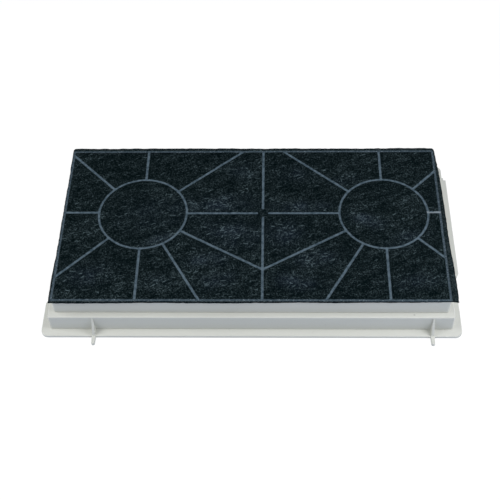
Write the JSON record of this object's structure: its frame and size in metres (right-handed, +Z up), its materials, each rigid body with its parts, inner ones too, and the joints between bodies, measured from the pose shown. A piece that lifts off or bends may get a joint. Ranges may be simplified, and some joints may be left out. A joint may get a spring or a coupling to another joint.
{
  "type": "cooker hood carbon filter",
  "caption": "Two-tier plastic cassette of activated carbon, closed by a black fleece welded down in rings and spokes, with a flange and front lugs.",
  "frame": {"origin": "under the middle of the whole cassette, lugs and side tab included, in the plane of the flange's underside", "axes": "+X along the length towards the side tab, +Y away from the lugs, +Z up through the fleece"},
  "size_m": [0.4392, 0.2436, 0.0461],
  "materials": {
    "tray_plastic": "off-white moulded plastic, satin",
    "black_fleece": "black needled fleece with pressed blue-grey weld lines",
    "carbon": "black activated carbon granules"
  },
  "bodies": {
    "root": {"tray": "tray_plastic", "top_fleece": "black_fleece", "bottom_fleece": "black_fleece", "carbon_left_core": "carbon", "carbon_left_1": "carbon", "carbon_left_2": "carbon", "carbon_left_3": "carbon", "carbon_left_4": "carbon", "carbon_left_5": "carbon", "carbon_left_6": "carbon", "carbon_left_7": "carbon", "carbon_left_8": "carbon", "carbon_left_9": "carbon", "carbon_right_core": "carbon", "carbon_right_1": "carbon", "carbon_right_2": "carbon", "carbon_right_3": "carbon", "carbon_right_4": "carbon", "carbon_right_5": "carbon", "carbon_right_6": "carbon", "carbon_right_7": "carbon", "carbon_right_8": "carbon", "carbon_right_9": "carbon"}
  },
  "joints": []
}
